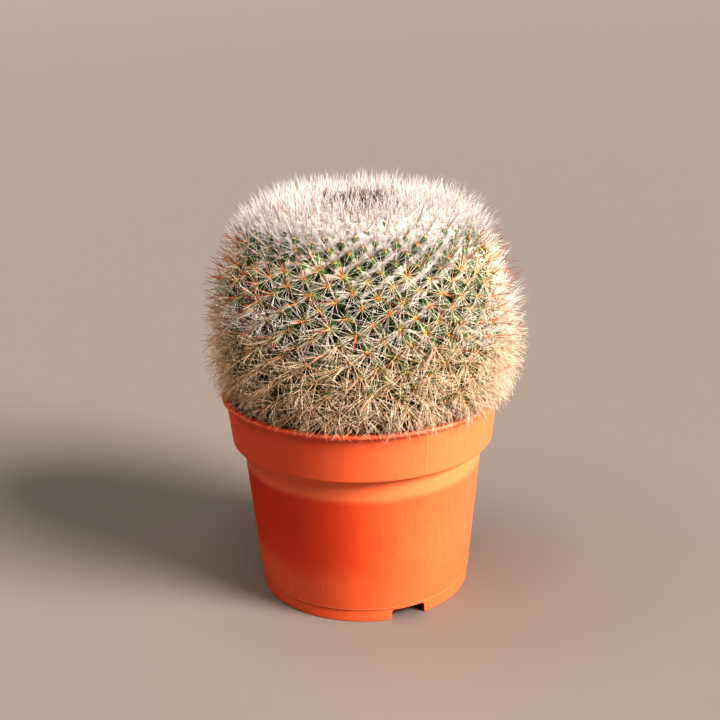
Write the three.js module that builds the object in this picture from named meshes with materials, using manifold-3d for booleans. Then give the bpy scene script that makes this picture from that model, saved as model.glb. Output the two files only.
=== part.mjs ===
import * as THREE from 'three';
import { mergeVertices } from 'three/addons/utils/BufferGeometryUtils.js';
import Module from 'manifold-3d';

// A round pincushion cactus that has outgrown its thin plastic nursery pot.
// Millimetres, +Z up. The origin is the centre of the pot's foot, on the surface that it stands on.

const FULL_TURN = 2 * Math.PI;
const MERGE_DISTANCE = 1e-4;

// ---- The pot: moulded plastic, 12 cm over the lip ----
const POT_SIDES = 48;
const WALL = 1.4;
const GAP = 0.3; // left between the pot and the soil, and between the stem and its wool
const LIP_RADIUS = 60;
const LIP_TOP = 88.7;
const LIP_HEIGHT = 1.6;
const LIP_EDGE = 0.6; // rounding of the lip's corners
const BAND_TOP_RADIUS = 58.1;
const BAND_FOOT_RADIUS = 56.2;
const BAND_FOOT = 67.5; // height of the ledge under the rim band
const BAND_EDGE = 1.1; // rounding under the band
const BODY_TOP_RADIUS = 51.9;
const FOOT_RADIUS = 45.9;
const FOOT_RING_TOP = 5.5;
const FOOT_RING_STEP = 0.3; // how far the body stands out over the foot ring
const FOOT_RING_WALL = 2.2;
const FLOOR_UNDERSIDE = 5;
const FLOOR_FILLET = 1.2;

const NOTCH_COUNT = 3;
const NOTCH_FIRST = THREE.MathUtils.degToRad(-67); // polar angle of the first notch
const NOTCH_WIDTH = 15.6;
const NOTCH_HEIGHT = 4.6;
const DRAIN_RADIUS = 4.5;
const DRAIN_CIRCLE = 34; // the outer drain holes stand this far from the middle
const DRAIN_SIDES = 16;

// ---- The soil ----
const SOIL_LEVEL = 82;
const SOIL_LUMP = 0.7; // height of its lumps, either way
const SOIL_WAVE = [0.61, 0.47]; // radians per millimetre along X and Y
const SOIL_RINGS = 2;

// ---- The plant: tubercles on a lattice of spirals, each with a tuft of spines on its tip ----
const PLANT_SHIFT = 0.75; // the plant stands a little right of the pot's axis
const STEEP = 34; // number of steep spirals, which rise to the left
const SHALLOW = 21; // number of shallow spirals, which rise to the right
const DIVERGENCE = -THREE.MathUtils.degToRad(137.50776); // turn from one tubercle to the next
const CROWN_RADIUS = 43; // the wool reaches out to here
const HOLLOW_RADIUS = 10.5; // the innermost tuft stands this far from the middle
const BED_RADII = [34, 18]; // the rings of the smooth bed that the wool lies on
const LOWEST_TUBERCLE = 87.5; // height of the last row above the soil
const TUBERCLE_HEIGHT = 5;
const AREOLE_RADIUS = 1.25;
const AREOLE_LIFT = 0.5; // the areole's rim lies this far under its middle
const AREOLE_SHARE = 0.32; // and reaches out over no more than this share of its tubercle

const SPINE_LENGTH = 10.4;
const SPINE_SPREAD = 0.41; // sideways, for each millimetre that its foot lies off the areole's middle
const SPINE_TWIST = THREE.MathUtils.degToRad(30); // lets the spines of neighbours pass each other
const SPINE_SWING = THREE.MathUtils.degToRad(6); // random, either way
const SPINE_VARIATION = 0.08; // random share of the length, either way
const LIFTED_FROM = 100; // below this height the spines bend up more and more, to clear the pot
const SPINE_LIFT = 0.8; // at the lip, as a share of the way along the normal
const LOW_SPINE_CUT = 0.3; // the lowest spines are this much shorter

const WOOL_DEPTH = 2.2; // of the furrows between the tufts
const WOOL_INSET = 6; // tubercles that the wool's lower edge lies further in than its upper edge
const BRISTLE_LENGTH = 12;
const BRISTLE_SPREAD = 0.15;
const BRISTLE_OUTWARD = 0.3; // how much the bristles fan out from the middle

const CENTRE_HEIGHT = 166; // the bottom of the crown's hollow

// Half of the outline through the tubercles' tips, from the middle of the crown down to the soil.
const OUTLINE = new THREE.SplineCurve([
  new THREE.Vector2(0, CENTRE_HEIGHT),
  new THREE.Vector2(16, 167),
  new THREE.Vector2(30, 166.8),
  new THREE.Vector2(43, 161.5),
  new THREE.Vector2(53, 148),
  new THREE.Vector2(58.3, 128),
  new THREE.Vector2(59.2, 109),
  new THREE.Vector2(56.4, 95),
  new THREE.Vector2(49.5, 85),
  new THREE.Vector2(39, 79),
]);
// The smooth neck that stands in the soil, below the lowest tubercles.
const NECK = [
  new THREE.Vector2(42.5, 82.5),
  new THREE.Vector2(38, 77),
  new THREE.Vector2(24, 72),
  new THREE.Vector2(0, 70),
];
const NECK_CLEARANCE = 0.45;
const POT_CLEARANCE = 0.9; // between the lowest spines and the pot's lip or the soil
const CLEARANCE_CHECKS = 10; // points along a spine
const SHORTENED = 0.9; // a spine that still touches is cut to this share, again and again

const STEM_SEED = 11;
const WOOL_SEED = 5;

const wasm = await Module();
wasm.setup();

// ---- Solids ----
// Leaves only positions, with shared corners merged and flat triangles dropped.
function weld(geometry) {
  geometry.deleteAttribute('normal');
  geometry.deleteAttribute('uv');
  const merged = mergeVertices(geometry, MERGE_DISTANCE);
  const corners = merged.index.array;
  const kept = [];
  for (let i = 0; i < corners.length; i += 3) {
    const [a, b, c] = corners.slice(i, i + 3);
    if (a !== b && b !== c && c !== a) kept.push(a, b, c);
  }
  merged.setIndex(kept);
  return merged;
}

function toSolid(geometry) {
  const welded = weld(geometry);
  return new wasm.Manifold(new wasm.Mesh({
    numProp: 3,
    vertProperties: new Float32Array(welded.attributes.position.array),
    triVerts: new Uint32Array(welded.index.array),
  }));
}

function toGeometry(solid) {
  const { vertProperties, triVerts } = solid.getMesh();
  const geometry = new THREE.BufferGeometry();
  geometry.setAttribute('position', new THREE.BufferAttribute(vertProperties, 3));
  geometry.setIndex(new THREE.BufferAttribute(triVerts, 1));
  return geometry;
}

// A profile of [radius, height] pairs, anticlockwise, turned round the Z axis.
function turned(profile) {
  const points = profile.map(([radius, height]) => new THREE.Vector2(radius, height));
  return new THREE.LatheGeometry(points, POT_SIDES).rotateX(Math.PI / 2);
}

// Random numbers from -1 to 1, the same on every run: a linear congruential generator.
function seededSwing(seed) {
  const modulus = 2 ** 32;
  let state = seed;
  return () => {
    state = (state * 1664525 + 1013904223) % modulus;
    return 2 * (state / modulus) - 1;
  };
}

// ---- Pot ----
// The inside, from the lip down to the middle of the floor. The soil follows it too.
const INNER_FOOT_RADIUS = FOOT_RADIUS - WALL;
const POT_INSIDE = [
  [BAND_TOP_RADIUS - WALL, LIP_TOP - LIP_HEIGHT],
  [BAND_FOOT_RADIUS - WALL, BAND_FOOT + BAND_EDGE + WALL],
  [BODY_TOP_RADIUS - WALL + BAND_EDGE, BAND_FOOT + WALL],
  [BODY_TOP_RADIUS - WALL, BAND_FOOT],
  [INNER_FOOT_RADIUS, FLOOR_UNDERSIDE + WALL + FLOOR_FILLET],
  [INNER_FOOT_RADIUS - FLOOR_FILLET, FLOOR_UNDERSIDE + WALL],
  [0, FLOOR_UNDERSIDE + WALL],
];

function potGeometry() {
  const ringInside = FOOT_RADIUS - FOOT_RING_WALL;
  const lipFoot = LIP_TOP - LIP_HEIGHT;
  const body = toSolid(turned([
    [0, FLOOR_UNDERSIDE],
    [ringInside - FLOOR_FILLET, FLOOR_UNDERSIDE],
    [ringInside, FLOOR_UNDERSIDE - FLOOR_FILLET],
    [ringInside, 0],
    [FOOT_RADIUS, 0],
    [FOOT_RADIUS, FOOT_RING_TOP],
    [FOOT_RADIUS + 2 * FOOT_RING_STEP, FOOT_RING_TOP + FOOT_RING_STEP],
    [BODY_TOP_RADIUS, BAND_FOOT],
    [BAND_FOOT_RADIUS - BAND_EDGE, BAND_FOOT],
    [BAND_FOOT_RADIUS, BAND_FOOT + BAND_EDGE],
    [BAND_TOP_RADIUS, lipFoot],
    [LIP_RADIUS - LIP_EDGE, lipFoot],
    [LIP_RADIUS, lipFoot + LIP_EDGE],
    [LIP_RADIUS, LIP_TOP - LIP_EDGE],
    [LIP_RADIUS - LIP_EDGE, LIP_TOP],
    [BAND_TOP_RADIUS - WALL + LIP_EDGE, LIP_TOP],
    [BAND_TOP_RADIUS - WALL, LIP_TOP - LIP_EDGE],
    ...POT_INSIDE,
  ]));
  const cuts = [drain(0, 0)];
  for (let i = 0; i < NOTCH_COUNT; i++) {
    const angle = NOTCH_FIRST + (i * FULL_TURN) / NOTCH_COUNT;
    cuts.push(notch(angle), drain(DRAIN_CIRCLE, angle));
  }
  return toGeometry(cuts.reduce((pot, cut) => pot.subtract(cut), body));
}

// A notch through the foot ring lets the water run out from under the pot.
function notch(angle) {
  const depth = 4 * FOOT_RING_WALL;
  const box = new THREE.BoxGeometry(depth, NOTCH_WIDTH, 2 * NOTCH_HEIGHT);
  return toSolid(box.translate(FOOT_RADIUS - FOOT_RING_WALL / 2, 0, 0).rotateZ(angle));
}

function drain(distance, angle) {
  const plug = new THREE.CylinderGeometry(DRAIN_RADIUS, DRAIN_RADIUS, 4 * WALL, DRAIN_SIDES);
  return toSolid(plug.rotateX(Math.PI / 2)
    .translate(distance, 0, FLOOR_UNDERSIDE + WALL / 2).rotateZ(angle));
}

// ---- Soil ----
function soilGeometry() {
  const wall = POT_INSIDE.map(([radius, height]) => [Math.max(0, radius - GAP), height + GAP]);
  const [bandTop, bandFoot] = wall;
  const rise = (SOIL_LEVEL - bandFoot[1]) / (bandTop[1] - bandFoot[1]);
  const edge = THREE.MathUtils.lerp(bandFoot[0], bandTop[0], rise);
  const profile = wall.slice(1).reverse();
  const inner = NECK[0].x / 2;
  for (let i = 0; i <= SOIL_RINGS; i++) {
    profile.push([THREE.MathUtils.lerp(edge, inner, i / SOIL_RINGS), SOIL_LEVEL]);
  }
  profile.push([0, SOIL_LEVEL]);
  const block = weld(turned(profile));
  const corners = block.attributes.position;
  for (let i = 0; i < corners.count; i++) {
    if (corners.getZ(i) > SOIL_LEVEL - GAP) {
      const across = Math.sin(corners.getX(i) * SOIL_WAVE[0]);
      const along = Math.cos(corners.getY(i) * SOIL_WAVE[1]);
      corners.setZ(i, SOIL_LEVEL + SOIL_LUMP * across * along);
    }
  }
  const top = LIP_TOP + TUBERCLE_HEIGHT;
  const socket = NECK.map(({ x, y }) => [x > 0 ? x + NECK_CLEARANCE : 0, y - NECK_CLEARANCE]);
  socket.unshift([0, top], [NECK[0].x + TUBERCLE_HEIGHT, top]);
  return toGeometry(toSolid(block).subtract(
    toSolid(turned(socket.reverse()).translate(PLANT_SHIFT, 0, 0)),
  ));
}

// ---- The lattice of tubercles ----
// Tubercle number k stands k times the divergence round the axis. Its neighbours along the two
// families of spirals are k + SHALLOW and k + STEEP, and four neighbours share each valley corner.
const wrapped = (angle) => angle - FULL_TURN * Math.round(angle / FULL_TURN);
const SHALLOW_TURN = wrapped(SHALLOW * DIVERGENCE);
const STEEP_TURN = wrapped(STEEP * DIVERGENCE);
// Rise from one tubercle to the next, per unit of radius, that makes the lattice square.
const RISE = Math.sqrt(Math.abs(SHALLOW_TURN * STEEP_TURN) / (SHALLOW * STEEP));
const SPIRALS = SHALLOW + STEEP;

// Numbers the outline: ladder[i] is the number of the tubercle that would stand at i / STEPS.
// The rise stays the same over the crown, so that its tufts don't crowd in the middle.
const STEPS = 800;
const ladder = [0];
for (let i = 1; i <= STEPS; i++) {
  const radius = OUTLINE.getPointAt((i - 0.5) / STEPS).x;
  const rise = RISE * Math.max(radius, CROWN_RADIUS);
  ladder.push(ladder[i - 1] + OUTLINE.getLength() / STEPS / rise);
}

function shareAt(number) {
  const step = Math.max(1, ladder.findIndex((value) => value >= number));
  const part = (number - ladder[step - 1]) / (ladder[step] - ladder[step - 1]);
  return (step - 1 + part) / STEPS;
}

// The number of the first tubercle, going down the outline, for which the test holds.
function firstNumber(test) {
  const step = ladder.findIndex((value, i) => test(OUTLINE.getPointAt(i / STEPS)));
  return Math.round(ladder[step]);
}

// A place on the plant: a point this deep under the tubercles' tips, with its outward normal.
function placeAt(number, angle, depth) {
  const share = shareAt(number);
  const { x: radius, y: height } = OUTLINE.getPointAt(share);
  const along = OUTLINE.getTangentAt(share);
  const radial = new THREE.Vector3(Math.cos(angle), Math.sin(angle), 0);
  const normal = radial.clone().multiplyScalar(-along.y).setZ(along.x);
  const point = radial.clone().multiplyScalar(radius).setZ(height);
  point.addScaledVector(normal, -depth);
  return { point, normal, radial };
}

// A mesh under construction, with its points and its triangles.
class Skin {
  constructor() {
    this.points = [];
    this.triangles = [];
  }

  addPoint(point) {
    this.points.push(point.x, point.y, point.z);
    return this.points.length / 3 - 1;
  }

  addQuad(a, b, c, d) {
    this.triangles.push(a, b, c, a, c, d);
  }

  // Joins two rings with the same number of points. The second ring lies further down.
  addBand(upper, lower) {
    upper.forEach((point, i) => {
      const next = (i + 1) % upper.length;
      this.addQuad(point, lower[i], lower[next], upper[next]);
    });
  }

  // Closes a ring with a fan. Seen from above it faces up where top is true.
  addFan(ring, centre, top) {
    const pole = this.addPoint(centre);
    ring.forEach((point, i) => {
      const next = ring[(i + 1) % ring.length];
      this.triangles.push(pole, ...(top ? [point, next] : [next, point]));
    });
  }

  toGeometry() {
    const geometry = new THREE.BufferGeometry();
    geometry.setAttribute('position', new THREE.Float32BufferAttribute(this.points, 3));
    geometry.setIndex(this.triangles);
    return geometry;
  }
}

// The valley corners that end the lattice above or below, in order round the axis. The corner
// below tubercle k is number k, half a step of both spirals further on.
function edgeCorners(first) {
  const corners = [];
  for (let k = first; k < first + SPIRALS; k++) {
    corners.push({ k, angle: cornerAngle(k) });
  }
  const turnOf = ({ angle }) => THREE.MathUtils.euclideanModulo(angle, FULL_TURN);
  return corners.sort((one, other) => turnOf(one) - turnOf(other));
}

function cornerAngle(k) {
  return k * DIVERGENCE + (SHALLOW_TURN + STEEP_TURN) / 2;
}

function cornerPlace(k, depth) {
  return placeAt(k + SPIRALS / 2, cornerAngle(k), depth).point;
}

// Tubercles from the first number to the last, each with four sides that rise from its valley
// corners to the areole, and a three-sided spine on each quarter of the areole.
function addTubercles(skin, first, last, depth, aimSpine) {
  const valley = new Map();
  for (let k = first - SPIRALS; k <= last; k++) {
    valley.set(k, skin.addPoint(cornerPlace(k, depth)));
  }
  for (let k = first; k <= last; k++) {
    const { point: middle, normal, radial } = placeAt(k, k * DIVERGENCE, 0);
    const around = [k - SPIRALS, k - STEEP, k, k - SHALLOW];
    const outward = around.map((corner) => {
      const reach = cornerPlace(corner, 0).sub(middle).projectOnPlane(normal);
      return reach.clampLength(0, Math.min(AREOLE_RADIUS, AREOLE_SHARE * reach.length()));
    });
    const rim = outward.map((reach) => middle.clone().add(reach)
      .addScaledVector(normal, -AREOLE_LIFT));
    const rimPoints = rim.map((point) => skin.addPoint(point));
    const centre = skin.addPoint(middle);
    around.forEach((corner, i) => {
      const next = (i + 1) % around.length;
      const [a, b] = [rimPoints[i], rimPoints[next]];
      skin.addQuad(valley.get(corner), valley.get(around[next]), b, a);
      const root = rim[i].clone().add(rim[next]).add(middle).divideScalar(3);
      const sideways = outward[i].clone().add(outward[next]);
      const tip = skin.addPoint(aimSpine({ root, sideways, normal, radial }));
      skin.triangles.push(a, b, tip, b, centre, tip, centre, a, tip);
    });
  }
  return valley;
}

const lastWoolTuft = firstNumber(({ x: radius }) => radius > CROWN_RADIUS);
const firstWoolTuft = firstNumber(({ x: radius }) => radius > HOLLOW_RADIUS);
const lastTubercle = firstNumber(({ y: height, x: radius }) => (
  radius > CROWN_RADIUS && height < LOWEST_TUBERCLE)) - 1;
const crownEdge = edgeCorners(lastWoolTuft - SPIRALS + 1);

// A ring of points on the bed that the wool lies on.
function bedRing(skin, radius, depth) {
  const level = firstNumber(({ x }) => x > radius);
  return crownEdge.map(({ angle }) => skin.addPoint(placeAt(level, angle, depth).point));
}

// ---- Stem ----
const inMouth = BAND_TOP_RADIUS - WALL - POT_CLEARANCE;
const overLip = LIP_TOP + POT_CLEARANCE;
const overSoil = SOIL_LEVEL + SOIL_LUMP + POT_CLEARANCE;

// True where a straight spine keeps clear of the pot's lip and of the soil.
function clearsPot(root, tip) {
  for (let i = 1; i <= CLEARANCE_CHECKS; i++) {
    const point = root.clone().lerp(tip, i / CLEARANCE_CHECKS);
    const radius = Math.hypot(point.x + PLANT_SHIFT, point.y);
    if (point.z < (radius > inMouth ? overLip : overSoil)) return false;
  }
  return true;
}

function stemGeometry() {
  const skin = new Skin();
  const either = seededSwing(STEM_SEED);
  const aimSpine = ({ root, sideways, normal }) => {
    const low = THREE.MathUtils.clamp((LIFTED_FROM - root.z) / (LIFTED_FROM - LIP_TOP), 0, 1);
    const axis = normal.clone();
    axis.z += SPINE_LIFT * low;
    const swing = SPINE_TWIST + SPINE_SWING * either();
    const direction = sideways.applyAxisAngle(normal, swing).projectOnPlane(axis)
      .multiplyScalar(SPINE_SPREAD).add(axis.normalize()).normalize();
    direction.multiplyScalar(SPINE_LENGTH * (1 + SPINE_VARIATION * either()));
    direction.multiplyScalar(1 - LOW_SPINE_CUT * low);
    while (!clearsPot(root, root.clone().add(direction))) direction.multiplyScalar(SHORTENED);
    return root.clone().add(direction);
  };
  const first = lastWoolTuft + 1;
  const valley = addTubercles(skin, first, lastTubercle, TUBERCLE_HEIGHT, aimSpine);

  let ring = crownEdge.map(({ k }) => valley.get(k));
  for (const radius of BED_RADII) {
    const inner = bedRing(skin, radius, TUBERCLE_HEIGHT);
    skin.addBand(inner, ring);
    ring = inner;
  }
  skin.addFan(ring, placeAt(0, 0, TUBERCLE_HEIGHT).point, true);

  const footEdge = edgeCorners(lastTubercle - SPIRALS + 1);
  ring = footEdge.map(({ k }) => valley.get(k));
  for (const { x: radius, y: height } of NECK.slice(0, -1)) {
    const lower = footEdge.map(({ angle }) => skin.addPoint(
      new THREE.Vector3(radius * Math.cos(angle), radius * Math.sin(angle), height),
    ));
    skin.addBand(ring, lower);
    ring = lower;
  }
  skin.addFan(ring, new THREE.Vector3(0, 0, NECK.at(-1).y), false);
  return skin.toGeometry();
}

// ---- Crown wool ----
// A cap of white wool on the youngest tubercles, with a tuft and its bristles for each of them.
function woolGeometry() {
  const skin = new Skin();
  const either = seededSwing(WOOL_SEED);
  const aimBristle = ({ root, sideways, normal, radial }) => {
    const swing = SPINE_TWIST + SPINE_SWING * either();
    const direction = sideways.applyAxisAngle(normal, swing).multiplyScalar(BRISTLE_SPREAD)
      .add(normal).addScaledVector(radial, BRISTLE_OUTWARD).normalize();
    const length = BRISTLE_LENGTH * (1 + SPINE_VARIATION * either());
    return root.clone().addScaledVector(direction, length);
  };
  const valley = addTubercles(skin, firstWoolTuft, lastWoolTuft, WOOL_DEPTH, aimBristle);

  const hollowEdge = edgeCorners(firstWoolTuft - SPIRALS).map(({ k }) => valley.get(k));
  skin.addFan(hollowEdge, placeAt(0, 0, 0).point, true);

  const underside = TUBERCLE_HEIGHT - GAP;
  let ring = crownEdge.map(({ k }) => valley.get(k));
  const lowerEdge = crownEdge.map(({ k, angle }) => skin.addPoint(
    placeAt(k + SPIRALS / 2 - WOOL_INSET, angle, underside).point,
  ));
  skin.addBand(ring, lowerEdge);
  ring = lowerEdge;
  for (const radius of BED_RADII) {
    const inner = bedRing(skin, radius, underside);
    skin.addBand(ring, inner);
    ring = inner;
  }
  skin.addFan(ring, placeAt(0, 0, underside).point, false);
  return skin.toGeometry();
}

// ---- Assembly ----
const POT_PLASTIC = { color: 0xc2502a, roughness: 0.45, metalness: 0 };
const POTTING_SOIL = { color: 0x3b2a1e, roughness: 0.95, metalness: 0 };
const CACTUS_GREEN = { color: 0x5f7a48, roughness: 0.55, metalness: 0 };
const CROWN_WHITE = { color: 0xe9e3d6, roughness: 0.9, metalness: 0 };

function named(name, geometry, finish) {
  const mesh = new THREE.Mesh(geometry, new THREE.MeshStandardMaterial(finish));
  mesh.name = name;
  return mesh;
}

const plant = new THREE.Group();
plant.position.x = PLANT_SHIFT;
plant.add(named('stem', stemGeometry(), CACTUS_GREEN));
plant.add(named('crown_wool', woolGeometry(), CROWN_WHITE));

const pottedCactus = new THREE.Group();
pottedCactus.add(named('pot', potGeometry(), POT_PLASTIC));
pottedCactus.add(named('soil', soilGeometry(), POTTING_SOIL));
pottedCactus.add(plant);

export default pottedCactus;
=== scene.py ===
import math

import bmesh
import bpy
import numpy as np
from mathutils import Matrix, Vector, noise


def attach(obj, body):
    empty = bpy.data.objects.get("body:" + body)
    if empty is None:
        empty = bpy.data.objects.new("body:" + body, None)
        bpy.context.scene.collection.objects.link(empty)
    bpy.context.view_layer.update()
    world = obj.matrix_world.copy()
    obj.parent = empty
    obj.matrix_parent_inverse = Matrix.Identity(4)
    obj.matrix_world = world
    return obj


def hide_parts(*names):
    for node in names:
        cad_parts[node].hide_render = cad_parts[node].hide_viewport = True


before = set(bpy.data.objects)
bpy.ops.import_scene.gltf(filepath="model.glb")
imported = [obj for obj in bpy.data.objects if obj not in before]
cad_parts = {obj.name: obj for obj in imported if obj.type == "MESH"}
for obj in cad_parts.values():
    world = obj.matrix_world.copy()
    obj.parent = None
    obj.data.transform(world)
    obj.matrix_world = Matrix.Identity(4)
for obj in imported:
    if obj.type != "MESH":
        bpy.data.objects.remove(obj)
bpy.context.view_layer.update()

# ---- Pot ----
# A thin nursery pot, moulded in one piece from orange plastic: a flat lip, a rim band that ends in a
# ledge, a tapered body, and a foot ring with three notches. The floor has four drain holes. Here the
# notches and holes are cut out of a turned shell, and its sharp edges are softened.
MM = 0.001
FULL_TURN = 2 * math.pi

POT_SIDES = 192
WALL = 1.4
LIP_RADIUS = 60
LIP_TOP = 88.7
LIP_HEIGHT = 1.6
BAND_TOP_RADIUS = 58.1
BAND_FOOT_RADIUS = 56.2
BAND_FOOT = 67.5  # height of the ledge under the rim band
BODY_TOP_RADIUS = 51.9
FOOT_RADIUS = 45.9
FOOT_RING_TOP = 5.5
FOOT_RING_STEP = 0.3  # how far the body stands out over the foot ring
FOOT_RING_WALL = 2.2
FLOOR_UNDERSIDE = 5
NOTCH_COUNT = 3
NOTCH_FIRST = math.radians(-67)
NOTCH_WIDTH = 15.6
NOTCH_HEIGHT = 4.6
NOTCH_TAPER = 0.4  # taken off each side at its top
NOTCH_CORNER = 1.4
NOTCH_DEPTHS = 40.4, 49.2  # how far from the axis its cutter starts and ends
NOTCH_START = -3  # its cutter starts under the foot
DRAIN_RADIUS = 4.5
DRAIN_SIDES = 40
DRAIN_CIRCLE = 34  # the outer drain holes stand this far from the middle
DRAIN_HEIGHTS = 3, 9  # their cutters stand between these, through the floor
SOFT_EDGE = 0.25
OVAL, WAVER = 0.22, 0.12  # how far the lip is out of round, in two waves and in five
POT_INSIDE = [  # radius, height and rounding, from the lip down to the middle of the floor
    (BAND_TOP_RADIUS - WALL, LIP_TOP - LIP_HEIGHT, 0.3),
    (BAND_FOOT_RADIUS - WALL, BAND_FOOT + 2.5, 0.8),
    (BODY_TOP_RADIUS - WALL, BAND_FOOT, 0.8),
    (FOOT_RADIUS - WALL, FLOOR_UNDERSIDE + WALL, 1.2),
    (0, FLOOR_UNDERSIDE + WALL, 0),
]


def new_piece(name, points, faces):
    """A mesh object at the origin, from points in millimetres."""
    mesh = bpy.data.meshes.new(name)
    mesh.from_pydata((np.asarray(points, float) * MM).tolist(), [], faces)
    return new_object(name, mesh)


def new_object(name, mesh):
    """An object at the origin that shows the mesh."""
    piece = bpy.data.objects.new(name, mesh)
    bpy.context.collection.objects.link(piece)
    return piece


def rounded(corners, steps=4):
    """An outline from (radius, height, rounding) corners, with an arc at each rounded one."""
    outline = []
    for i, (x, z, rounding) in enumerate(corners):
        if rounding == 0:
            outline.append((x, z))
            continue
        corner = Vector((x, z))
        before = Vector(corners[i - 1][:2]) - corner
        after = Vector(corners[(i + 1) % len(corners)][:2]) - corner
        bend = before.angle(after)
        reach = min(rounding / math.tan(bend / 2), 0.45 * before.length, 0.45 * after.length)
        start, end = corner + before.normalized() * reach, corner + after.normalized() * reach
        for step in range(steps + 1):
            t = step / steps
            outline.append(tuple(start * (1 - t) ** 2 + corner * 2 * t * (1 - t) + end * t * t))
    return outline


def turned(name, outline, sides):
    """An anticlockwise (radius, height) outline turned round Z. Its ends lie on the axis."""
    points, rings = [], []
    for radius, height in outline:
        if radius < 1e-9:
            rings.append([len(points)] * sides)
            points.append((0, 0, height))
        else:
            rings.append(range(len(points), len(points) + sides))
            for side in range(sides):
                angle = FULL_TURN * side / sides
                points.append((radius * math.cos(angle), radius * math.sin(angle), height))
    faces = []
    for lower, upper in zip(rings, rings[1:]):
        for side in range(sides):
            after = (side + 1) % sides
            corners = (lower[side], lower[after], upper[after], upper[side])
            faces.append(tuple(dict.fromkeys(corners)))
    return new_piece(name, points, faces)


def as_plain_mesh(piece):
    """Applies the piece's modifiers."""
    bpy.context.view_layer.update()
    applied = piece.evaluated_get(bpy.context.evaluated_depsgraph_get())
    mesh = bpy.data.meshes.new_from_object(applied)
    piece.modifiers.clear()
    piece.data = mesh


def smooth_shaded(piece, crease=180):
    """Smooth shading, with edges sharper than the crease angle left hard."""
    piece.data.shade_smooth()
    if crease < 180:
        piece.data.set_sharp_from_angle(angle=math.radians(crease))


def notch_cutter(angle, corners, inner, outer):
    """A prism that points away from the axis, with (across, height) corners."""
    turn = Matrix.Rotation(angle, 3, "Z")
    points = [turn @ Vector((reach, across, height)) for reach in (inner, outer)
              for across, height in corners]
    count = len(corners)
    faces = [tuple(reversed(range(count))), tuple(range(count, 2 * count))]
    for i in range(count):
        after = (i + 1) % count
        faces.append((i, after, after + count, i + count))
    return new_piece("notch_cutter", points, faces)


pot = turned("pot_shell", rounded([
    (0, FLOOR_UNDERSIDE, 0),
    (FOOT_RADIUS - FOOT_RING_WALL, FLOOR_UNDERSIDE, 1.2),
    (FOOT_RADIUS - FOOT_RING_WALL, 0, 0.4),
    (FOOT_RADIUS, 0, 0.5),
    (FOOT_RADIUS, FOOT_RING_TOP, 0.1),
    (FOOT_RADIUS + 2 * FOOT_RING_STEP, FOOT_RING_TOP + FOOT_RING_STEP, 0.2),
    (BODY_TOP_RADIUS, BAND_FOOT, 0.6),
    (BAND_FOOT_RADIUS, BAND_FOOT, 1.1),
    (BAND_TOP_RADIUS, LIP_TOP - LIP_HEIGHT, 0.4),
    (LIP_RADIUS, LIP_TOP - LIP_HEIGHT, 0.7),
    (LIP_RADIUS, LIP_TOP, 0.8),
    (BAND_TOP_RADIUS - WALL, LIP_TOP, 0.7),
    *POT_INSIDE,
]), POT_SIDES)

cutters = []
notch_outline = rounded([
    (-NOTCH_WIDTH / 2, NOTCH_START, 0),
    (NOTCH_WIDTH / 2, NOTCH_START, 0),
    (NOTCH_WIDTH / 2 - NOTCH_TAPER, NOTCH_HEIGHT, NOTCH_CORNER),
    (NOTCH_TAPER - NOTCH_WIDTH / 2, NOTCH_HEIGHT, NOTCH_CORNER),
])
drain_foot, drain_top = DRAIN_HEIGHTS
drain_outline = [
    (0, drain_foot), (DRAIN_RADIUS, drain_foot), (DRAIN_RADIUS, drain_top), (0, drain_top)]
drain_places = [(0, 0)]
for i in range(NOTCH_COUNT):
    angle = NOTCH_FIRST + FULL_TURN * i / NOTCH_COUNT
    cutters.append(notch_cutter(angle, notch_outline, *NOTCH_DEPTHS))
    drain_places.append((DRAIN_CIRCLE * math.cos(angle), DRAIN_CIRCLE * math.sin(angle)))
for x, y in drain_places:
    drain = turned("drain_cutter", drain_outline, DRAIN_SIDES)
    drain.data.transform(Matrix.Translation((x * MM, y * MM, 0)))
    cutters.append(drain)
for cutter in cutters:
    cut = pot.modifiers.new("cut", "BOOLEAN")
    cut.operation, cut.solver, cut.object = "DIFFERENCE", "EXACT", cutter
as_plain_mesh(pot)
for cutter in cutters:
    bpy.data.objects.remove(cutter)
edges = pot.modifiers.new("soft_edges", "BEVEL")
edges.width, edges.segments, edges.limit_method = SOFT_EDGE * MM, 2, "ANGLE"
edges.angle_limit = math.radians(50)
as_plain_mesh(pot)

# The thin wall isn't quite round, and the less so the higher it is above the stiff foot.
for vertex in pot.data.vertices:
    x, y, z = vertex.co / MM
    angle = math.atan2(y, x)
    height = z / LIP_TOP
    bulge = OVAL * math.sin(2 * angle + 0.7) + WAVER * math.sin(5 * angle + 4 * height)
    wider = 1 + bulge * height * height / LIP_RADIUS
    vertex.co = Vector((x * wider, y * wider, z)) * MM
smooth_shaded(pot, crease=38)


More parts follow.
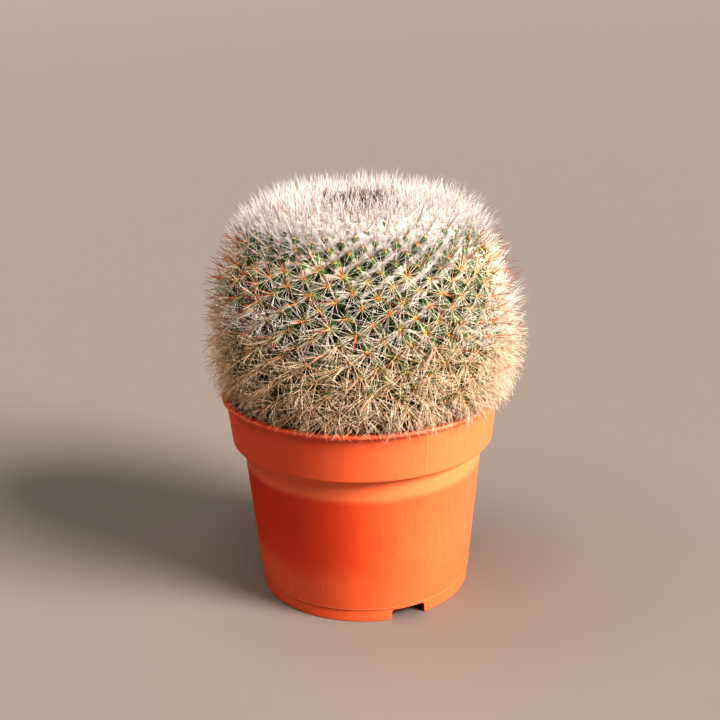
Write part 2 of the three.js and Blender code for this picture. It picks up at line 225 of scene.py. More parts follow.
class Wire:
    """An output in a node tree. Arithmetic with it adds Math nodes to the tree."""

    def __init__(self, tree, socket=None):
        self.tree, self.socket = tree, socket

    def node(self, kind, settings=None, *ordered, **by_name):
        """Adds a node: its settings first, then the values or wires of its sockets, in order or
        by name. A ramp's settings are its stops: position, colour."""
        node = self.tree.nodes.new(kind)
        for name, value in (settings or {}).items():
            if name == "stops":
                self.set_stops(node.color_ramp, value)
            else:
                setattr(node, name, value)
        usable = [socket for socket in node.inputs if socket.enabled]
        for socket, value in zip(usable, ordered):
            self.feed(socket, value)
        for name, value in by_name.items():
            wanted = name.replace("_", " ")
            self.feed(next(s for s in usable if s.name == wanted), value)
        return Wire(self.tree, next(s for s in node.outputs if s.enabled))

    def out(self, name):
        """Another output of the same node."""
        return Wire(self.tree, self.socket.node.outputs[name])

    @staticmethod
    def set_stops(ramp, stops):
        """Gives a colour ramp its stops."""
        while len(ramp.elements) < len(stops):
            ramp.elements.new(1)
        for element, (position, colour) in zip(ramp.elements, stops):
            element.position, element.color = position, colour

    def feed(self, socket, value):
        """Links a wire to the socket, or sets a steady value on it."""
        if isinstance(value, Wire):
            self.tree.links.new(value.socket, socket)
        else:
            socket.default_value = value

    def math(self, operation, *values):
        return self.node("ShaderNodeMath", {"operation": operation}, *values)

    def __add__(self, other):
        return self.math("ADD", self, other)

    __radd__ = __add__

    def __mul__(self, other):
        return self.math("MULTIPLY", self, other)

    __rmul__ = __mul__

    def __sub__(self, other):
        return self.math("SUBTRACT", self, other)

    def __rsub__(self, other):
        return self.math("SUBTRACT", other, self)

    def __truediv__(self, other):
        return self.math("DIVIDE", self, other)

    def __pow__(self, other):
        return self.math("POWER", self, other)

    def __abs__(self):
        return self.math("ABSOLUTE", self)

    def __gt__(self, other):
        return self.math("GREATER_THAN", self, other)

    def __lt__(self, other):
        return self.math("LESS_THAN", self, other)

    def smooth(self, low, high):
        """0 at low, 1 at high and a soft step between them."""
        return self.node("ShaderNodeMapRange", {"interpolation_type": "SMOOTHSTEP"},
                         Value=self, From_Min=low, From_Max=high)

    def blend(self, colour, other):
        """From colour where this wire is 0 to the other where it is 1."""
        return self.node("ShaderNodeMix", {"data_type": "RGBA"}, Factor=self, A=colour, B=other)


def shade(code):
    """A colour for a shader, from its code as a picture editor shows it."""
    red_green_blue = [int(code[i:i + 2], 16) / 255 for i in (0, 2, 4)]
    return (*(p / 12.92 if p <= 0.04045 else ((p + 0.055) / 1.055) ** 2.4
              for p in red_green_blue), 1)


def new_finish(name, **steady):
    """A material, its shader and the start of its wires. Steady values stay on the sockets."""
    material = bpy.data.materials.new(name)
    material.use_nodes = True
    shader = material.node_tree.nodes["Principled BSDF"]
    for socket, value in steady.items():
        shader.inputs[socket.replace("_", " ")].default_value = value
    return material, shader, Wire(material.node_tree)


def grain(wires, place, scale, detail=4.0, roughness=0.55, **more):
    """Noise from 0 to 1. The scale is in bumps for each unit of the place."""
    return wires.node("ShaderNodeTexNoise", {}, Vector=place, Scale=scale, Detail=detail,
                      Roughness=roughness, **more)


def bump(wires, height, depth):
    """A normal that is raised by the height wire, at most depth millimetres."""
    return wires.node("ShaderNodeBump", {}, Strength=1.0, Distance=depth * MM, Height=height)


def feed_shader(wires, shader, **sockets):
    """Feeds the shader's named sockets."""
    for name, value in sockets.items():
        wires.feed(shader.inputs[name.replace("_", " ")], value)


def object_place(wires):
    """The place on the object, in metres."""
    return wires.node("ShaderNodeTexCoord").out("Object")


def parts(vector):
    """The X, Y and Z of a vector."""
    split = vector.node("ShaderNodeSeparateXYZ", {}, vector)
    return [split.out(axis) for axis in "XYZ"]


def to_vector(wires, x, y, z):
    return wires.node("ShaderNodeCombineXYZ", {}, x, y, z)


# The plastic is worn and weathered, and carries painted light as well. Each mark's wire is 0 where
# the mark is missing.
plastic, shader, wires = new_finish("orange_pot_plastic", Specular_IOR_Level=0.6, IOR=1.49)
place = object_place(wires)
x, y, z = parts(place)
angle = wires.math("ARCTAN2", y, x)
cloudy = grain(wires, place, 28, detail=3)
speckle = grain(wires, place, 900, detail=2)
streaks = grain(wires, to_vector(wires, angle * 14, z * 60, 0.0), 1.6, detail=5, roughness=0.7)
scratches = grain(wires, to_vector(wires, angle * 90, z * 700, 0.0), 1.0, detail=3,
                  roughness=0.7).smooth(0.62, 0.74)
low = 1 - z.smooth(0.004, 0.03)
dust = (speckle * 0.6 + streaks * 0.55).smooth(0.66, 0.8) * (0.15 + low * 0.6)
on_band = z.smooth(0.0672, 0.068)
seam = (1 - abs(angle + 1.12).smooth(0.002, 0.006)) * z.smooth(0.0675, 0.0685)
# A paler band on the body under the ledge.
pale_under_ledge = (z + cloudy * 0.003).smooth(0.0565, 0.0605) * (1 - on_band)
# The body is paler towards the bottom, in streaks.
pale_low_zone = 1 - (z + cloudy * 0.03).smooth(0.028, 0.046)
# Painted highlight: a pale line along the ridge over the foot ring.
painted_ring_highlight = 1 - abs(z - 0.0059).smooth(0.0001, 0.0005)
# Painted light: the pot's right side, toward the light, is painted paler.
painted_light_side = (x + cloudy * 0.02).smooth(-0.036, 0.056)
colour = cloudy.smooth(0.35, 0.68).blend(shade("c63c16"), shade("ce461e"))
colour = (painted_light_side * (0.72 - pale_low_zone * 0.3)).blend(colour, shade("e4845a"))
colour = (streaks.smooth(0.5, 0.78) * 0.5).blend(colour, shade("b84420"))
colour = (pale_under_ledge * 0.5 + on_band * 0.26).blend(colour, shade("f29c70"))
colour = (pale_low_zone * (0.3 + streaks * 0.35) * (1 - painted_light_side * 0.5)).blend(colour, shade("e68c5e"))
colour = (seam * 0.2 + painted_ring_highlight * 0.4).blend(colour, shade("f0a482"))
colour = (scratches * 0.14 * (0.3 + low)).blend(colour, shade("f0b090"))
colour = (dust * 0.5).blend(colour, shade("e8c0a4"))
relief = cloudy * 0.5 + speckle * 0.05 + seam * 0.35 + scratches * 0.05
feed_shader(wires, shader, Base_Color=colour, Normal=bump(wires, relief, 0.35),
            Roughness=0.44 + cloudy * 0.12 + dust * 0.25 + scratches * 0.08)
pot.data.materials.clear()
pot.data.materials.append(plastic)

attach(pot, "root")
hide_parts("pot")

# ---- Soil ----
# Dark, dry potting mix of peat, bark and grit. It fills the pot, and the plant's neck stands in it.
# Little of it shows: the plant has grown out over the pot's lip.
GAP = 0.3  # between the soil and the pot
SOIL_SIDES = 144
SOIL_RINGS = 10  # on its surface
SOIL_LEVEL = 82
SOIL_LUMP = 0.7
SOIL_WAVE = (0.61, 0.47)  # radians for each millimetre along X and Y
CRUMB_LUMP = 0.5
CRUMB_WAVE = 0.9
PLANT_SHIFT = 0.75  # the plant stands a little right of the pot's axis
NECK = [(42.5, 82.5), (38, 77), (24, 72), (0, 70)]  # radius and height, down to its end
NECK_CLEARANCE = 0.45

socket = [(radius + (NECK_CLEARANCE if radius else 0), height - NECK_CLEARANCE)
          for radius, height in NECK]
wall = [(max(0, radius - GAP), height + GAP) for radius, height, _ in reversed(POT_INSIDE)]
(foot_x, foot_z), (top_x, top_z) = wall[-2:]
edge = foot_x + (top_x - foot_x) * (SOIL_LEVEL - foot_z) / (top_z - foot_z)
soil_top = [(edge + (socket[0][0] - edge) * i / (SOIL_RINGS - 1), SOIL_LEVEL)
            for i in range(SOIL_RINGS)]
soil = turned("potting_mix", wall[:-1] + soil_top + socket[1:], SOIL_SIDES)
for vertex in soil.data.vertices:
    x, y, z = vertex.co / MM
    reach = math.hypot(x, y)
    if z > SOIL_LEVEL - GAP:
        lump = SOIL_LUMP * math.sin(x * SOIL_WAVE[0]) * math.cos(y * SOIL_WAVE[1])
        z += 0.7 * lump + CRUMB_LUMP * noise.noise(Vector((x, y, 0)) * CRUMB_WAVE)
    if reach < socket[0][0] + 0.1:
        x += PLANT_SHIFT
    vertex.co = Vector((x, y, z)) * MM
smooth_shaded(soil, crease=40)


def new_tree(name, inputs):
    """A Geometry Nodes tree, and a wire for each of its named inputs."""
    tree = bpy.data.node_groups.new(name, "GeometryNodeTree")
    for label, kind in {"Geometry": "Geometry", **inputs}.items():
        tree.interface.new_socket(label, in_out="INPUT", socket_type=f"NodeSocket{kind}")
    tree.interface.new_socket("Geometry", in_out="OUTPUT", socket_type="NodeSocketGeometry")
    source = tree.nodes.new("NodeGroupInput")
    return tree, {s.name: Wire(tree, s) for s in source.outputs if s.name}


def finish_tree(geometry, material):
    """Ends a tree: its instances become real, and take the material."""
    real = geometry.node("GeometryNodeRealizeInstances", {}, geometry)
    painted = real.node("GeometryNodeSetMaterial", {}, Geometry=real, Material=material)
    end = geometry.tree.nodes.new("NodeGroupOutput")
    geometry.tree.links.new(painted.socket, end.inputs["Geometry"])


def grown(name, base, tree, sizes):
    """The plain mesh that the tree makes from the base object with these sizes."""
    modifier = base.modifiers.new(name, "NODES")
    modifier.node_group = tree
    for item in tree.interface.items_tree:
        if item.in_out == "INPUT" and item.name in sizes:
            modifier[item.identifier] = sizes[item.name]
    bpy.context.view_layer.update()
    made = base.evaluated_get(bpy.context.evaluated_depsgraph_get())
    mesh = bpy.data.meshes.new_from_object(made)
    base.modifiers.remove(modifier)
    return new_object(name, mesh)


def chance(wires, low, high, seed):
    """A random number for each element. Seed is a wire or a number."""
    return wires.node("FunctionNodeRandomValue", {"data_type": "FLOAT"}, Min=low, Max=high,
                      Seed=seed)


def stored(geometry, name, kind, value, domain="POINT"):
    """The geometry with a named attribute on it."""
    return geometry.node("GeometryNodeStoreNamedAttribute",
                         {"data_type": kind, "domain": domain},
                         Geometry=geometry, Name=name, Value=value)


def named(wires, name, kind="FLOAT"):
    """Reads a named attribute, for a tree."""
    return wires.node("GeometryNodeInputNamedAttribute", {"data_type": kind}, Name=name)


def attribute(wires, name):
    """Reads a value that the mesh holds, for a shader."""
    return wires.node("ShaderNodeAttribute", {"attribute_name": name}).out("Fac")


grit_tree, grit = new_tree("grit_on_soil", {
    "Density": "Float", "Grain": "Float", "Seed": "Int", "Material": "Material"})
wires = grit["Geometry"]
height = parts(wires.node("GeometryNodeInputPosition"))[2]
facing_up = parts(wires.node("GeometryNodeInputNormal"))[2]
level = (height > (SOIL_LEVEL - 2) * MM) * (facing_up > 0.5)
spots = wires.node("GeometryNodeDistributePointsOnFaces", {"distribute_method": "RANDOM"},
                   Mesh=wires, Selection=level, Density=grit["Density"], Seed=grit["Seed"])
spots = stored(spots, "tone", "FLOAT", chance(wires, 0.0, 1.0, grit["Seed"] + 1))
spin = to_vector(wires, *(
    chance(wires, 0.0, FULL_TURN, grit["Seed"] + step) for step in (2, 3, 4)))
size = grit["Grain"] * chance(wires, 0.35, 1.3, grit["Seed"] + 5)
sizes = to_vector(wires, size, size * chance(wires, 0.5, 1.0, grit["Seed"] + 6),
                  size * chance(wires, 0.3, 0.8, grit["Seed"] + 7))
ball = wires.node("GeometryNodeMeshIcoSphere", {}, Radius=1.0, Subdivisions=1)
grains = wires.node("GeometryNodeInstanceOnPoints", {}, Points=spots, Instance=ball,
                    Rotation=wires.node("FunctionNodeEulerToRotation", {}, spin), Scale=sizes)
finish_tree(grains, grit["Material"])

peat, shader, wires = new_finish("dark_potting_mix", Specular_IOR_Level=0.2)
place = object_place(wires)
crumbs = grain(wires, place, 450, detail=6, roughness=0.7)
patches = grain(wires, place, 60, detail=3)
colour = crumbs.smooth(0.35, 0.7).blend(shade("241912"), shade("4f3a2a"))
colour = (patches.smooth(0.5, 0.7) * 0.4).blend(colour, shade("6a5541"))
feed_shader(wires, shader, Base_Color=colour, Roughness=0.8 + crumbs * 0.18,
            Normal=bump(wires, crumbs, 0.9))
soil.data.materials.append(peat)

chips, shader, wires = new_finish("bark_and_grit", Specular_IOR_Level=0.3)
tone = attribute(wires, "tone")
mottle = grain(wires, object_place(wires), 1500, detail=3)
colour = wires.node("ShaderNodeValToRGB", {"stops": [
    (0.0, shade("3b2718")), (0.35, shade("5e4029")), (0.6, shade("8a7763")),
    (0.85, shade("b9aa93")), (0.95, shade("ded7c8"))]}, tone)
colour = (mottle * 0.5).blend(colour, shade("4a3a2c"))
feed_shader(wires, shader, Base_Color=colour, Roughness=0.7 + mottle * 0.25)
grit_layer = grown("grit_layer", soil, grit_tree, {
    "Density": 4.0e5, "Grain": 0.9 * MM, "Seed": 3, "Material": chips})

for piece in (soil, grit_layer):
    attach(piece, "root")
    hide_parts("soil")

# ---- Stem ----
# The plant's green body. Conical tubercles cover it on two families of spirals, 26 that rise to the
# right and 42 that rise to the left. Each grew from the crown down, with valleys between them.
OUTLINE = [  # radius and height of the tubercles' tips, from the crown down
    (0, 166), (16, 167), (30, 166.8), (43, 161.5), (53, 148), (58.3, 128), (59.2, 109),
    (56.4, 95), (49.5, 85), (39, 79)]
OUTLINE_POINTS = 4000
HEADS = 2  # tubercles grow in pairs, on opposite sides
DIVERGENCE = math.radians(137.50776) / HEADS
SHALLOW, STEEP = 13, 21  # pairs from a tubercle to its neighbours on the two spirals
CROWN_RADIUS = 43
HOLLOW_RADIUS = 6.5  # the innermost tubercles stand this far from the axis
LOWEST_TUBERCLE = 87.5
TUBERCLE_HEIGHT = 5.0
TUBERCLE_STEPS = 3  # faces from a tubercle's tip to its valley
LEAST_YOUTH = 0.25  # size of the innermost tubercles, as a share of a full-grown one
VIGOUR_SPREAD = 0.07  # how much tubercles of one age differ
DOME_BLUNTNESS = 0.55
POLE = 0.01  # the radius at which a ring closes to a point
HOLLOW = [(3.5, 162), (POLE, 161.5)]  # radius and height of the rings that close the crown

stem_random = np.random.default_rng(21)


def along_outline(corners, count):
    """Points on a smooth curve through the corners."""
    corners = np.array(corners, float)
    spread = np.linspace(0, len(corners) - 1, count)
    first = np.clip(spread.astype(int), 0, len(corners) - 2)
    t = (spread - first)[:, None]
    a, b = corners[np.maximum(first - 1, 0)], corners[first]
    c, d = corners[first + 1], corners[np.minimum(first + 2, len(corners) - 1)]
    rise, fall = (c - a) / 2, (d - b) / 2
    return ((2 * b - 2 * c + rise + fall) * t ** 3
            + (3 * c - 3 * b - 2 * rise - fall) * t ** 2 + rise * t + b)


def half_turned(angle):
    """The same angle, from minus to plus a quarter turn: the pairs repeat every half turn."""
    share = FULL_TURN / HEADS
    return angle - share * round(angle / share)


SHALLOW_TURN = half_turned(SHALLOW * DIVERGENCE)
STEEP_TURN = half_turned(STEEP * DIVERGENCE)
RISE = math.sqrt(abs(SHALLOW_TURN * STEEP_TURN) / (SHALLOW * STEEP))

# Along the outline, the ladder counts levels: one for each pair of tubercles. Rungs lie further apart
# where the plant is wider, so that tubercles keep their form.
outline = along_outline(OUTLINE, OUTLINE_POINTS)
strides = np.hypot(*np.diff(outline, axis=0).T)
arc = np.concatenate([[0], np.cumsum(strides)])
wide = np.maximum((outline[1:, 0] + outline[:-1, 0]) / 2, CROWN_RADIUS)
ladder = np.concatenate([[0], np.cumsum(strides / (RISE * wide))])
slopes = np.gradient(outline, arc, axis=0)


def place_at(level, angle, depth):
    """Points this deep under the tubercles' tips, and the outward normals there."""
    radius, height, out, fall = (np.interp(level, ladder, values) for values in (
        outline[:, 0], outline[:, 1], slopes[:, 0], slopes[:, 1]))
    radial = np.stack([np.cos(angle), np.sin(angle)], -1)
    normal = np.concatenate([radial * -fall[..., None], out[..., None]], -1)
    point = np.concatenate([radial * radius[..., None], height[..., None]], -1)
    point = point - normal * np.asarray(depth)[..., None]
    point[..., 0] += PLANT_SHIFT
    return point, normal


def level_where(test):
    """The nearest whole level to where the test along the outline first holds."""
    return int(round(ladder[np.argmax(test)]))


first_pair = level_where(outline[:, 0] > HOLLOW_RADIUS)
last_pair = level_where((outline[:, 0] > CROWN_RADIUS) & (outline[:, 1] < LOWEST_TUBERCLE)) - 1
whole_arc = np.interp(last_pair, ladder, arc)


def age_at(level):
    """From 0 in the middle of the crown to 1 at the lowest tubercles."""
    return np.interp(level, ladder, arc) / whole_arc


pairs, heads = np.meshgrid(np.arange(first_pair, last_pair + 1), np.arange(HEADS), indexing="ij")
pairs, heads = pairs.ravel(), heads.ravel()
turns = pairs * DIVERGENCE + heads * FULL_TURN / HEADS
radii = np.interp(pairs, ladder, outline[:, 0])
youth = np.clip(radii / CROWN_RADIUS, LEAST_YOUTH, 1) ** 0.8  # young tubercles are small
vigour = 1 + VIGOUR_SPREAD * stem_random.standard_normal(len(pairs))

# Each tubercle is a domed grid between the valleys to its four neighbours.
share = np.sin(np.linspace(-1, 1, 2 * TUBERCLE_STEPS + 1) * math.pi / 2) / 2
across, down = np.meshgrid(share, share, indexing="ij")
dome = np.clip((1 - (2 * across) ** 2) * (1 - (2 * down) ** 2), 0, 1) ** DOME_BLUNTNESS
grid_level = pairs[:, None, None] + across * SHALLOW + down * STEEP
grid_angle = turns[:, None, None] + across * SHALLOW_TURN + down * STEEP_TURN
flank = youth[:, None, None] * TUBERCLE_HEIGHT
raised = dome * (1 + (vigour[:, None, None] - 1) * dome)
points, _ = place_at(grid_level, grid_angle, flank * (1 - raised))


def grid_faces(count, rows, columns):
    """The faces of this many separate grids of points."""
    a, b = np.meshgrid(np.arange(rows - 1), np.arange(columns - 1), indexing="ij")
    corner = a * columns + b
    quad = np.stack([corner, corner + columns, corner + columns + 1, corner + 1], -1)
    first = np.arange(count)[:, None, None] * rows * columns
    return (quad.reshape(1, -1, 4) + first).reshape(-1, 4)


def set_values(mesh, name, values, kind="FLOAT", field="value"):
    """Keeps a value for each point on the mesh, for its tree or its material."""
    mesh.attributes.new(name, kind, "POINT").data.foreach_set(
        field, np.asarray(values, np.float32).ravel())


stem = new_piece("tubercled_stem", points.reshape(-1, 3),
                 grid_faces(len(pairs), len(share), len(share)).tolist())
set_values(stem.data, "depth", np.broadcast_to(1 - dome, grid_level.shape))
set_values(stem.data, "age", age_at(grid_level))
set_values(stem.data, "band", np.broadcast_to(2 * abs(down), grid_level.shape))


def welded_body(piece):
    """The piece's mesh, open for changes, with the points that meet made one."""
    body = bmesh.new()
    body.from_mesh(piece.data)
    bmesh.ops.remove_doubles(body, verts=body.verts, dist=0.02 * MM)
    return body


def put_back(body, piece):
    """Gives the piece its changed mesh, with all faces outward."""
    bmesh.ops.recalc_face_normals(body, faces=body.faces)
    body.to_mesh(piece.data)
    body.free()
    smooth_shaded(piece)


def open_rings(body):
    """The open edges of the mesh: those round the crown's hollow, and those round the foot."""
    loose = [edge for edge in body.edges if edge.is_boundary]
    halfway = 130 * MM
    return ([e for e in loose if e.verts[0].co.z > halfway],
            [e for e in loose if e.verts[0].co.z <= halfway])


def drawn_to_ring(body, ring, radius, height):
    """Draws a ring of open edges to a circle round the plant's axis."""
    drawn = bmesh.ops.extrude_edge_only(body, edges=ring)["geom"]
    for vertex in drawn:
        if isinstance(vertex, bmesh.types.BMVert):
            x, y = vertex.co.x - PLANT_SHIFT * MM, vertex.co.y
            wider = radius * MM / max(math.hypot(x, y), 1e-9)
            vertex.co = (PLANT_SHIFT * MM + x * wider, y * wider, height * MM)
    return [e for e in drawn if isinstance(e, bmesh.types.BMEdge)]


body = welded_body(stem)
hollow, foot = open_rings(body)
for radius, height in HOLLOW:
    hollow = drawn_to_ring(body, hollow, radius, height)
for radius, height in NECK[:-1] + [(POLE, NECK[-1][1])]:
    foot = drawn_to_ring(body, foot, radius, height)
bmesh.ops.remove_doubles(body, verts=body.verts, dist=3 * POLE * MM)
put_back(body, stem)

skin, shader, wires = new_finish("green_waxy_skin", IOR=1.42)
place = object_place(wires)
depth, age, band = (attribute(wires, name) for name in ("depth", "age", "band"))
patchy = grain(wires, place, 120, detail=3)
pores = grain(wires, place, 2600, detail=2)
colour = patchy.smooth(0.35, 0.7).blend(shade("364a22"), shade("4d6632"))
# Painted shade: the valleys between the tubercles are painted dark.
colour = (depth.smooth(0.35, 0.9) * 0.75).blend(colour, shade("1c2a12"))
# Painted highlight: the tubercles' tips are painted lighter.
colour = ((1 - depth.smooth(0.0, 0.25)) * 0.3).blend(colour, shade("7f9450"))
corky = age.smooth(0.78, 0.98) * (0.4 + patchy * 0.6)
colour = (corky * 0.65).blend(colour, shade("66553a"))
colour = (pores.smooth(0.62, 0.72) * 0.3).blend(colour, shade("a7b07a"))
fluff = grain(wires, place, 420, detail=5, roughness=0.7)
woolly = (1 - age.smooth(0.44, 0.56)) * band.smooth(0.5, 0.8) * fluff.smooth(0.3, 0.55)
colour = woolly.blend(colour, shade("e6dfd0"))
relief = pores * 0.2 + patchy * 0.3 + woolly * fluff
feed_shader(wires, shader, Base_Color=colour, Normal=bump(wires, relief, 0.5),
            Roughness=0.3 + patchy * 0.14 + woolly * 0.45 + corky * 0.25)
stem.data.materials.append(skin)

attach(stem, "root")
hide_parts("stem")

# ---- Areoles ----
# A small woolly cushion on the tip of each tubercle, from which its spines grow. The fresh ones
# are nearly white, the older ones yellow to orange-brown.
AREOLE_RADIUS = 0.55
SUNNY_GROWTH = 0.13  # how much longer spines grow on the sunny side, as a share
SUNNY_TURN = -0.3  # radians: where that side is
AIM_SPREAD = 0.07  # how far areoles are out of line

tips, outward = place_at(pairs.astype(float), turns, np.zeros(len(pairs)))
tips += outward * ((vigour - 1) * TUBERCLE_HEIGHT * youth)[:, None]
outward = outward + AIM_SPREAD * stem_random.standard_normal(outward.shape)
outward /= np.linalg.norm(outward, axis=1)[:, None]
radial = np.stack([np.cos(turns), np.sin(turns), np.zeros(len(turns))], -1)
upward = np.tile([0.0, 0.0, 1.0], (len(pairs), 1))
tip_age = age_at(pairs)
below_crown = np.clip((tip_age - 0.3) / 0.3, 0, 1)
sunny_growth = 1 + SUNNY_GROWTH * np.cos(turns - SUNNY_TURN) * below_crown
tuft = stem_random.uniform(-1, 1, outward.shape)  # each areole's spines lie a bit to one side
everywhere = np.ones(len(pairs), bool)


def facing(outward):
    """Turns, as quaternions, that bring Z to the outward direction and X to the downward one."""
    down = outward * outward[:, 2:] - [1e-6, 0, 1]
    down /= np.linalg.norm(down, axis=1)[:, None]
    sideways = np.cross(outward, down)
    return np.array([tuple(Matrix(np.stack(axes, 1).tolist()).to_quaternion())
                     for axes in zip(down, sideways, outward)])


def areole_points(name, chosen, lean, least_size=0.0):
    """The chosen areoles as points, for a tree to grow on. Their spines lean this way."""
    piece = new_piece(name, tips[chosen], [])
    set_values(piece.data, "facing", facing(outward[chosen]), "QUATERNION")
    set_values(piece.data, "lean", lean[chosen], "FLOAT_VECTOR", "vector")
    set_values(piece.data, "tuft", tuft[chosen], "FLOAT_VECTOR", "vector")
    size = least_size + (1 - least_size) * youth[chosen]
    set_values(piece.data, "size", size * vigour[chosen] * sunny_growth[chosen])
    set_values(piece.data, "age", tip_age[chosen])
    return piece


pad_tree, pad = new_tree("areole_pads", {
    "Radius": "Float", "Seed": "Int", "Material": "Material"})
wires = pad["Geometry"]
spots = stored(wires, "tone", "FLOAT", chance(wires, 0.0, 1.0, pad["Seed"]))
size = pad["Radius"] * named(wires, "size") * chance(wires, 0.8, 1.2, pad["Seed"] + 1)
ball = wires.node("GeometryNodeMeshIcoSphere", {}, Radius=1.0, Subdivisions=2)
uneven = chance(wires, -0.1, 0.1, 9)
ball = wires.node("GeometryNodeSetPosition", {}, Geometry=ball,
                  Offset=to_vector(wires, uneven, uneven, uneven))
sizes = to_vector(wires, size * 1.15, size * 0.85, size * 0.6)
pads = wires.node("GeometryNodeInstanceOnPoints", {}, Points=spots, Instance=ball,
                  Rotation=named(wires, "facing", "QUATERNION"), Scale=sizes)
finish_tree(pads, pad["Material"])

felt, shader, wires = new_finish("areole_felt", Specular_IOR_Level=0.2)
tone, age = attribute(wires, "tone"), attribute(wires, "age")
fuzz = grain(wires, object_place(wires), 2200, detail=3)
colour = tone.smooth(0.2, 0.9).blend(shade("f6bc5c"), shade("e89446"))
colour = ((1 - age.smooth(0.3, 0.42)) * 0.6).blend(colour, shade("e6dccb"))
colour = (age.smooth(0.7, 0.95) * 0.6).blend(colour, shade("9a7a55"))
colour = (fuzz.smooth(0.4, 0.7) * 0.5).blend(colour, shade("ecd9b0"))
feed_shader(wires, shader, Base_Color=colour, Roughness=0.75 + fuzz * 0.2,
            Normal=bump(wires, fuzz, 0.15))

areoles = areole_points("areole_centres", everywhere, radial)
areole_pads = grown("areole_pads", areoles, pad_tree, {
    "Radius": AREOLE_RADIUS * MM, "Seed": 4, "Material": felt})
bpy.data.objects.remove(areoles)
smooth_shaded(areole_pads)
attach(areole_pads, "root")
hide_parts("stem")

# ---- Radial spines ----
# Some forty thin spines round each areole, spread out over the valleys, where they interlace with
# the neighbours' spines. They are horn-like and grew with their tubercle: white when young, cream and
# greyish tan further down, where they are longer and more tangled.
POT_CLEARANCE = 0.6
LAST_REACH = 71  # no spine stands out further from the axis
SOFT_REACH = 66  # and past this, spines lie down more and more
NARROWING_FROM = 103  # below this height, the spines reach less and less far
NARROWING = 0.4  # millimetres for each millimetre further down
SUNNY_SHIFT = 1.6  # the middle of the spines' tips: they reach further on the sunny side
SPIRAL_TURN = math.radians(112)  # from straight down to the spiral that rises to the right
INNER_SLOPE, OUTER_SLOPE = 2.4, 1.5  # how steeply spines may run down on both sides of the lip
BORDER_SPREAD = 0.022  # how uneven the borders between the zones of spines are, in age
TUFTING = 0.6  # how much an areole's spines stray together, as a share of how much each one does


def spine_pattern(name, rings, sides):
    """One straight spine of unit length and radius, for a tree to copy: rings of (along,
    thickness), closed to a point at both ends."""
    points, along, across = [(0, 0, -0.02)], [0.0], [0.5]
    for height, thickness in rings:
        for side in range(sides):
            angle = FULL_TURN * side / sides
            points.append((thickness * math.cos(angle), thickness * math.sin(angle), height))
            along.append(height)
            across.append(side / (sides - 1))
    points.append((0, 0, 1))
    along.append(1.0)
    across.append(0.5)
    last = len(points) - 1
    faces = []
    for side in range(sides):
        after = (side + 1) % sides
        faces.append((0, 1 + after, 1 + side))
        for ring in range(len(rings) - 1):
            low, high = 1 + ring * sides, 1 + (ring + 1) * sides
            faces.append((low + side, low + after, high + after, high + side))
        top = 1 + (len(rings) - 1) * sides
        faces.append((top + side, top + after, last))
    pattern = new_piece(name, np.array(points) / MM, faces)
    set_values(pattern.data, "along", along)
    set_values(pattern.data, "across", across)
    pattern.hide_render = True
    return pattern


def vector(wires, operation, *values):
    """Arithmetic with vectors."""
    return wires.node("ShaderNodeVectorMath", {"operation": operation}, *values)


def times(direction, amount):
    """A vector made longer by an amount."""
    return direction.node("ShaderNodeVectorMath", {"operation": "SCALE"}, Vector=direction,
                          Scale=amount)


def any_way(wires, seed):
    """A random vector for each element, from -1 to 1 along each axis."""
    return wires.node("FunctionNodeRandomValue", {"data_type": "FLOAT_VECTOR"},
                      Min=(-1, -1, -1), Max=(1, 1, 1), Seed=seed)


def named_vector(wires, name):
    return named(wires, name, "FLOAT_VECTOR")


def position_parts(wires):
    return parts(wires.node("GeometryNodeInputPosition"))


def shifted(geometry, offset):
    return geometry.node("GeometryNodeSetPosition", {}, Geometry=geometry, Offset=offset)


def clear_of_pot(geometry):
    """Where a spine would run into the pot's lip, it bends and rests on the lip."""
    x, y, z = position_parts(geometry)
    apart = (x * x + y * y) ** 0.5
    inside = z.math("MAXIMUM", (BAND_TOP_RADIUS - WALL - POT_CLEARANCE) * MM - apart, 0.0)
    outside = z.math("MAXIMUM", apart - (LIP_RADIUS + POT_CLEARANCE) * MM, 0.0)
    lowest = (LIP_TOP + POT_CLEARANCE) * MM - inside * INNER_SLOPE - outside * OUTER_SLOPE
    return shifted(geometry, to_vector(
        geometry, 0.0, 0.0, z.math("MAXIMUM", lowest - z, 0.0)))


def within_reach(geometry):
    """Past the soft reach, and sooner where the plant narrows, spines lie down more and more."""
    x, y, z = position_parts(geometry)
    x = x - SUNNY_SHIFT * MM
    apart = (x * x + y * y) ** 0.5
    room = (LAST_REACH - SOFT_REACH) * MM
    narrower = z.math("MAXIMUM", NARROWING_FROM * MM - z, 0.0) * NARROWING
    excess = apart.math("MAXIMUM", apart + narrower - SOFT_REACH * MM, 0.0)
    kept = room * (1 - apart.math("EXPONENT", excess * (-1 / room)))
    factor = (kept - excess) / apart
    return shifted(geometry, to_vector(geometry, x * factor, y * factor, 0.0))


def planted(points, pattern, thickness):
    """The pattern on each point, along the point's aim and as long as its reach."""
    copies = points.node(
        "GeometryNodeInstanceOnPoints", {}, Points=points,
        Instance=points.node("GeometryNodeObjectInfo", {}, Object=pattern).out("Geometry"),
        Rotation=points.node("FunctionNodeAlignRotationToVector", {"axis": "Z"},
                             Vector=named_vector(points, "aim")),
        Scale=to_vector(points, thickness, thickness, named(points, "reach")))
    return points.node("GeometryNodeRealizeInstances", {}, copies)


def stored_map(geometry, along):
    """A UV map named OFBake: along the spine one way, its tone the other way."""
    tone = 0.03 + named(geometry, "tone") * 0.9 + named(geometry, "across") * 0.02
    return stored(geometry, "OFBake", "FLOAT2",
                  to_vector(geometry, along * 0.96 + 0.02, tone, 0.0), "CORNER")


